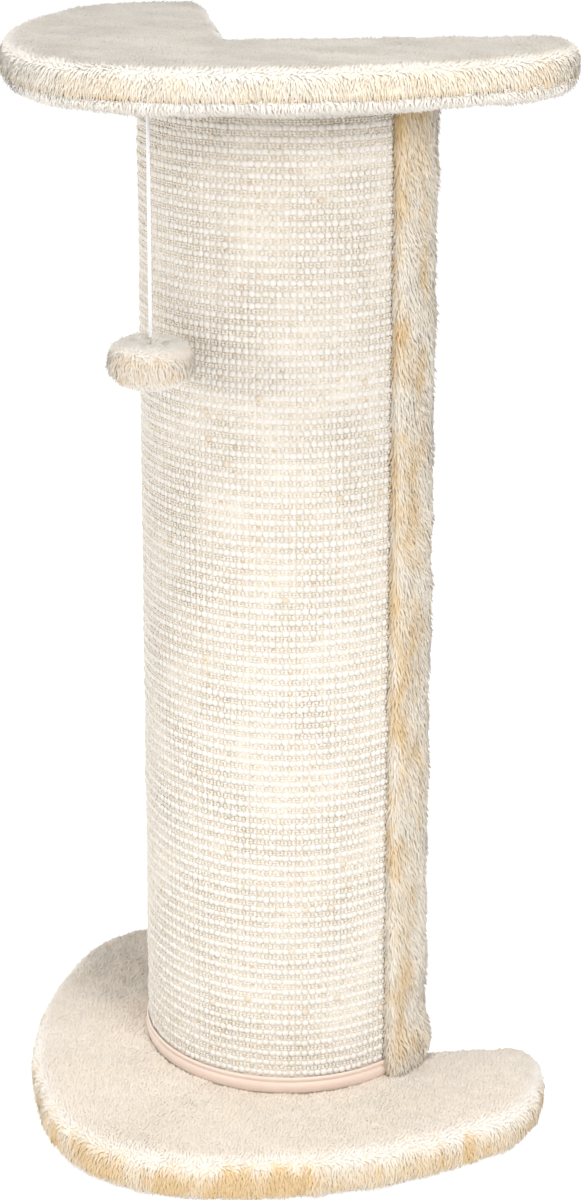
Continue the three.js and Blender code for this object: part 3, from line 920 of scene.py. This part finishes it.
def makeKnotTree():
    graph = geometryGraph("knots in rows")
    graph.ask("Start", "Geometry")
    radius = graph.ask("Radius", "Float", 0.1)
    size = graph.ask("Knot Size", "Vector", (0.002, 0.0012, 0.0024))
    span = graph.ask("Span", "Float", 0.28)
    columns = graph.ask("Columns", "Int", 65)
    rows = graph.ask("Rows", "Int", 90)
    pitch = graph.ask("Row Pitch", "Float", 0.0076)
    lowest = graph.ask("Lowest Row", "Float", 0.04)
    oddTone = graph.ask("Odd Tone", "Float", 0.0)
    wander = graph.ask("Wander", "Float", 0.0003)
    tilt = graph.ask("Tilt", "Float", 0.25)
    seed = graph.ask("Seed", "Int", 1)
    material = graph.ask("Material", "Material")

    height = pitch * (rows - 1)
    grid = graph.node("GeometryNodeMeshGrid", None, {
        "Size X": span, "Size Y": height, "Vertices X": columns, "Vertices Y": rows,
    })
    flat = graph.separate(graph.node("GeometryNodeInputPosition"))
    column = graph.math("ROUND", (flat + span / 2) * (columns - 1) / span)
    odd = graph.math("MODULO", column, 2.0)
    grid = graph.store(grid, "odd", odd)
    place = graph.combine(flat, 0.0, flat.other("Y") + height / 2 + lowest)
    # the whole face wavers a little, and each knot by itself
    waver = graph.noise(place, 25.0, 1.0, 0.5, "Color")
    waver = graph.scaled(graph.vector("SUBTRACT", waver, (0.5, 0.5, 0.5)), wander * 6)
    place = graph.vector("ADD", place, waver)
    place = graph.vector("ADD", place, graph.scaled(graph.randomVector(1.0, seed), wander))
    grid = graph.node("GeometryNodeSetPosition", None, {"Geometry": grid, "Position": place})

    ball = graph.node("GeometryNodeMeshIcoSphere", None, {"Radius": 1.0, "Subdivisions": 1})
    ball = graph.node("GeometryNodeSetShadeSmooth", None, {"Geometry": ball})
    lean = graph.combine(0.0, graph.random(-1.0, 1.0, seed + 1) * tilt, 0.0)
    lean = graph.node("FunctionNodeEulerToRotation", None, {"Euler": lean})
    uneven = graph.combine(graph.random(0.94, 1.08, seed + 2), 1.0, graph.random(0.85, 1.15, seed + 4))
    scale = graph.vector("MULTIPLY", size, uneven)
    knots = graph.node("GeometryNodeInstanceOnPoints", None, {
        "Points": grid, "Instance": ball, "Rotation": lean, "Scale": scale,
    })
    tone = graph.random(0.0, 1.0, seed + 3) * (1 - oddTone) + graph.given("odd") * oddTone
    knots = graph.store(knots, "tone", tone, "INSTANCE")
    knots = graph.node("GeometryNodeRealizeInstances", None, {"Geometry": knots})
    knots = roundTube(graph, knots, radius)
    return graph.answer(graph.realised(knots, material))


def makeFibreTree():
    graph = geometryGraph("stray fibres")
    graph.ask("Start", "Geometry")
    radius = graph.ask("Radius", "Float", 0.1)
    span = graph.ask("Span", "Float", 0.28)
    low = graph.ask("Lowest", "Float", 0.04)
    high = graph.ask("Highest", "Float", 0.7)
    count = graph.ask("Count", "Int", 200)
    length = graph.ask("Length", "Float", 0.009)
    thickness = graph.ask("Thickness", "Float", 0.00012)
    seed = graph.ask("Seed", "Int", 1)
    material = graph.ask("Material", "Material")

    start = graph.node("GeometryNodePoints", None, {"Count": count})
    place = graph.combine(
        graph.random(-0.5, 0.5, seed) * span,
        graph.random(-0.0012, -0.0002, seed + 1),
        low + (high - low) * graph.random(0.0, 1.0, seed + 2),
    )
    start = graph.node("GeometryNodeSetPosition", None, {"Geometry": start, "Position": place})
    hair = graph.node("GeometryNodeMeshCone", {"fill_type": "NGON"}, {
        "Vertices": 3, "Side Segments": 5, "Fill Segments": 1, "Radius Top": 0.0,
        "Radius Bottom": thickness, "Depth": length,
    })
    rise = graph.separate(graph.node("GeometryNodeInputPosition")).other("Z") / length
    bow = graph.combine(rise * (1 - rise) * length * 0.9, -0.4 * rise * rise * length, 0.0)
    hair = graph.node("GeometryNodeSetPosition", None, {"Geometry": hair, "Offset": bow})
    turn = graph.combine(graph.random(-0.2, 0.35, seed + 3), graph.random(-3.1, 3.1, seed + 4), 0.0)
    turn = graph.node("FunctionNodeEulerToRotation", None, {"Euler": turn})
    size = graph.random(0.4, 1.2, seed + 5)
    hairs = graph.node("GeometryNodeInstanceOnPoints", None, {
        "Points": start, "Instance": hair, "Rotation": turn, "Scale": graph.combine(size, size, size),
    })
    hairs = graph.store(hairs, "tone", graph.random(0.0, 1.0, seed + 6), "INSTANCE")
    hairs = graph.node("GeometryNodeRealizeInstances", None, {"Geometry": hairs})
    return graph.answer(graph.realised(roundTube(graph, hairs, radius), material))


def makeGround(values):
    # the mat's backing: low ridges, with its rows standing out as teeth at both edges
    rows = int((postTop - hemHigh[2]) / values["pitch"])
    firstRow = hemHigh[2] + values["pitch"] * values["firstRow"]
    steps = int(round((postTop - postBottom) / values["pitch"] * values["stepsPerRow"]))
    front, back = values["groundSides"], values["backSides"]
    surface = matOuter - values["knotSize"][1] * values["groundDepth"]
    inner = matInner + values["tubeGap"]
    rings = []
    for k in range(steps + 1):
        z = postBottom + (postTop - postBottom) * k / steps
        wave = 0.5 + 0.5 * math.cos(2 * math.pi * (z - firstRow) / values["pitch"])
        radius = surface + values["ridge"] * (wave - 0.5)
        half = matHalfAngle - values["tooth"] / matOuter * (1 - wave)
        ring = []
        for i in range(front):
            angle = -half + 2 * half * i / (front - 1)
            ring.append((radius * math.sin(angle), axisY - radius * math.cos(angle), z))
        for i in range(back):
            angle = half - 2 * half * i / (back - 1)
            ring.append((inner * math.sin(angle), axisY - inner * math.cos(angle), z))
        rings.append(ring)
    ground = lofted("sisalGround", rings)
    ground.data.materials.append(groundSisal)
    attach(ground, "stand")
    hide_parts("sisal_mat")
    return rows, firstRow, surface


def makeKnots(name, material, settings):
    piece = pieceFrom(name, [(0, 0, 0)], [])
    runTree(knotTree, piece, {**settings, "Material": material})
    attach(piece, "stand")
    reportTriangles(piece)


groundSisal = threadMaterial("sisal ground", "#EFE6DA", "#E8DCCB", 700)
knotSisal = threadMaterial("sisal knots", "#F1ECE5", "#EAE4D9", 900, spots="#DDBE92")
weftSisal = threadMaterial("sisal weft", "#F2ECE2", "#E8DCCA", 900, spots="#CFA776")
edgeSisal = threadMaterial("sisal edge", "#E6BC82", "#D2A066", 900)
fibreSisal = threadMaterial("sisal fibres", "#F6EDDA", "#D9A868", 500)
knotTree = makeKnotTree()
fibreTree = makeFibreTree()
sisalRows, firstRow, groundRadius = makeGround(sisalValues)
arcLength = 2 * matHalfAngle * matOuter
columns = int(arcLength / sisalValues["columnWidth"])
makeKnots("sisalKnots", knotSisal, {
    "Radius": groundRadius + sisalValues["knotProud"], "Knot Size": sisalValues["knotSize"],
    "Span": arcLength * (1 - 1 / columns), "Columns": columns, "Rows": sisalRows,
    "Row Pitch": sisalValues["pitch"], "Lowest Row": firstRow, "Seed": 71,
})
for number, shift in enumerate((-1, 1)):
    makeKnots("sisalWeft" + str(number + 1), weftSisal, {
        "Radius": groundRadius + sisalValues["weftProud"], "Knot Size": sisalValues["weftSize"],
        "Span": arcLength * (1 - 1 / columns), "Columns": int(columns * sisalValues["weftPerKnot"]),
        "Rows": sisalRows - 1, "Row Pitch": sisalValues["pitch"], "Odd Tone": 0.5,
        "Lowest Row": firstRow + sisalValues["pitch"] / 2 + shift * sisalValues["weftRise"] / 2,
        "Seed": 81 + number * 10, "Tilt": 0.5, "Wander": 0.0002,
    })
makeKnots("sisalEdgeStitches", edgeSisal, {
    "Radius": groundRadius + sisalValues["edgeProud"], "Knot Size": sisalValues["edgeSize"],
    "Span": arcLength, "Columns": 2, "Rows": sisalRows - 1, "Row Pitch": sisalValues["pitch"],
    "Lowest Row": firstRow + sisalValues["pitch"] / 2, "Seed": 101, "Wander": 0.0002,
})
fibres = pieceFrom("sisalFibres", [(0, 0, 0)], [])
runTree(fibreTree, fibres, {
    "Radius": matOuter, "Span": arcLength * 0.97, "Lowest": hemHigh[2], "Highest": postTop - 0.004,
    "Count": sisalValues["fibreCount"], "Seed": 91, "Material": fibreSisal,
})
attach(fibres, "stand")
print("sisal made")


# hem tape

tapeValues = dict(
    steps=220,
    crease=0.7,  # height of the fold line, as a share of the tape
    bulge=0.0007,
    pucker=0.00018,
)


def makeTape(values):
    bottom, top = hemLow[2], hemHigh[2]
    height = top - bottom
    inner = matOuter - 0.0006
    fold = bottom + height * values["crease"]
    rings = []
    for k in range(values["steps"] + 1):
        angle = -matHalfAngle + 2 * matHalfAngle * k / values["steps"]
        pucker = values["pucker"] * noise.noise(Vector((angle * 60, 0, 0)))
        outline = [
            (0, bottom), (0.0008, bottom + 0.0002), (0.0013, bottom + height * 0.16),
            (0.0012 + values["bulge"] + pucker, bottom + height * 0.34), (0.0013, fold - 0.0007),
            (0.0007, fold - 0.0001), (0.0006, fold + 0.0001), (0.0012, fold + 0.0008),
            (0.0013 + pucker, top - 0.0011), (0.0009, top - 0.0002), (0, top),
        ]
        rings.append([
            ((inner + out) * math.sin(angle), axisY - (inner + out) * math.cos(angle), z + pucker)
            for out, z in outline
        ])
    tape = lofted("hemTape", rings)
    tape.data.materials.append(satinMaterial())
    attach(tape, "stand")
    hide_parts("hem_tape")


makeTape(tapeValues)
print("hem tape made")


# CAD pieces that stay

def finishNodes(material, words):
    for name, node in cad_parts.items():
        if any(word in name for word in words):
            for slot in node.material_slots:
                slot.material = material


finishNodes(chipboardMaterial(), ("board", "former"))
finishNodes(cardboardMaterial(), ("post_tube",))
finishNodes(steelMaterial(), ("bolt", "washer", "tee_nut", "staple"))
finishNodes(stringMaterial, ("string_loop", "string_knot"))
print("CAD pieces finished")


# studio

studioValues = dict(
    worldLight=0.59,
    worldSeen=1.0,
    floorSize=30,
    floorGlow=0.55,
    lights=[
        # name, place, aimed at, width, power
        ("key", (-1.2, -2.2, 0.95), (0, -0.05, 0.4), 0.4, 16),
        ("fill", (2.3, -0.9, 1.5), (0, 0, 0.3), 0.7, 28),
        ("overhead", (0.45, -0.5, 2.45), (0, 0, 0.1), 0.3, 20),
        ("left", (-2.3, 0.2, 0.35), (0, 0, 0.45), 0.8, 9),
    ],
)


def makeStudio(values):
    world = bpy.data.worlds.new("studio")
    world.use_nodes = True
    world.node_tree.nodes.clear()
    sky = Graph(world.node_tree)
    seen = sky.node("ShaderNodeLightPath", None, None, "Is Camera Ray")
    strength = values["worldLight"] + seen * (values["worldSeen"] - values["worldLight"])
    light = sky.node("ShaderNodeBackground", None, {"Color": (1, 1, 1, 1), "Strength": strength})
    sky.node("ShaderNodeOutputWorld", None, {"Surface": light})
    bpy.context.scene.world = world
    bpy.context.scene.view_settings.view_transform = "Standard"
    half = values["floorSize"] / 2
    corners = [(-half, -half, 0), (half, -half, 0), (half, half, 0), (-half, half, 0)]
    floor = pieceFrom("floor", corners, [(0, 1, 2, 3)])
    material, graph = startMaterial("pale floor")
    mottle = graph.noise(objectPlace(graph), 3.0, 2.0)
    colour = graph.mix(mottle, hexColour("#F0F0EF"), hexColour("#F4F4F4"))
    seen = graph.node("ShaderNodeLightPath", None, None, "Is Camera Ray")
    glow = seen * values["floorGlow"]
    endMaterial(graph, {
        "Base Color": colour, "Roughness": 0.8, "Emission Color": graph.combine(glow, glow, glow),
        "Emission Strength": 1.0,
    })
    floor.data.materials.append(material)
    for name, place, target, width, power in values["lights"]:
        lamp = bpy.data.lights.new(name, "AREA")
        lamp.size = width
        lamp.energy = power
        light = bpy.data.objects.new(name, lamp)
        light.location = place
        light.rotation_euler = (Vector(target) - Vector(place)).to_track_quat("-Z", "Y").to_euler()
        bpy.context.collection.objects.link(light)


makeStudio(studioValues)
print("studio made")
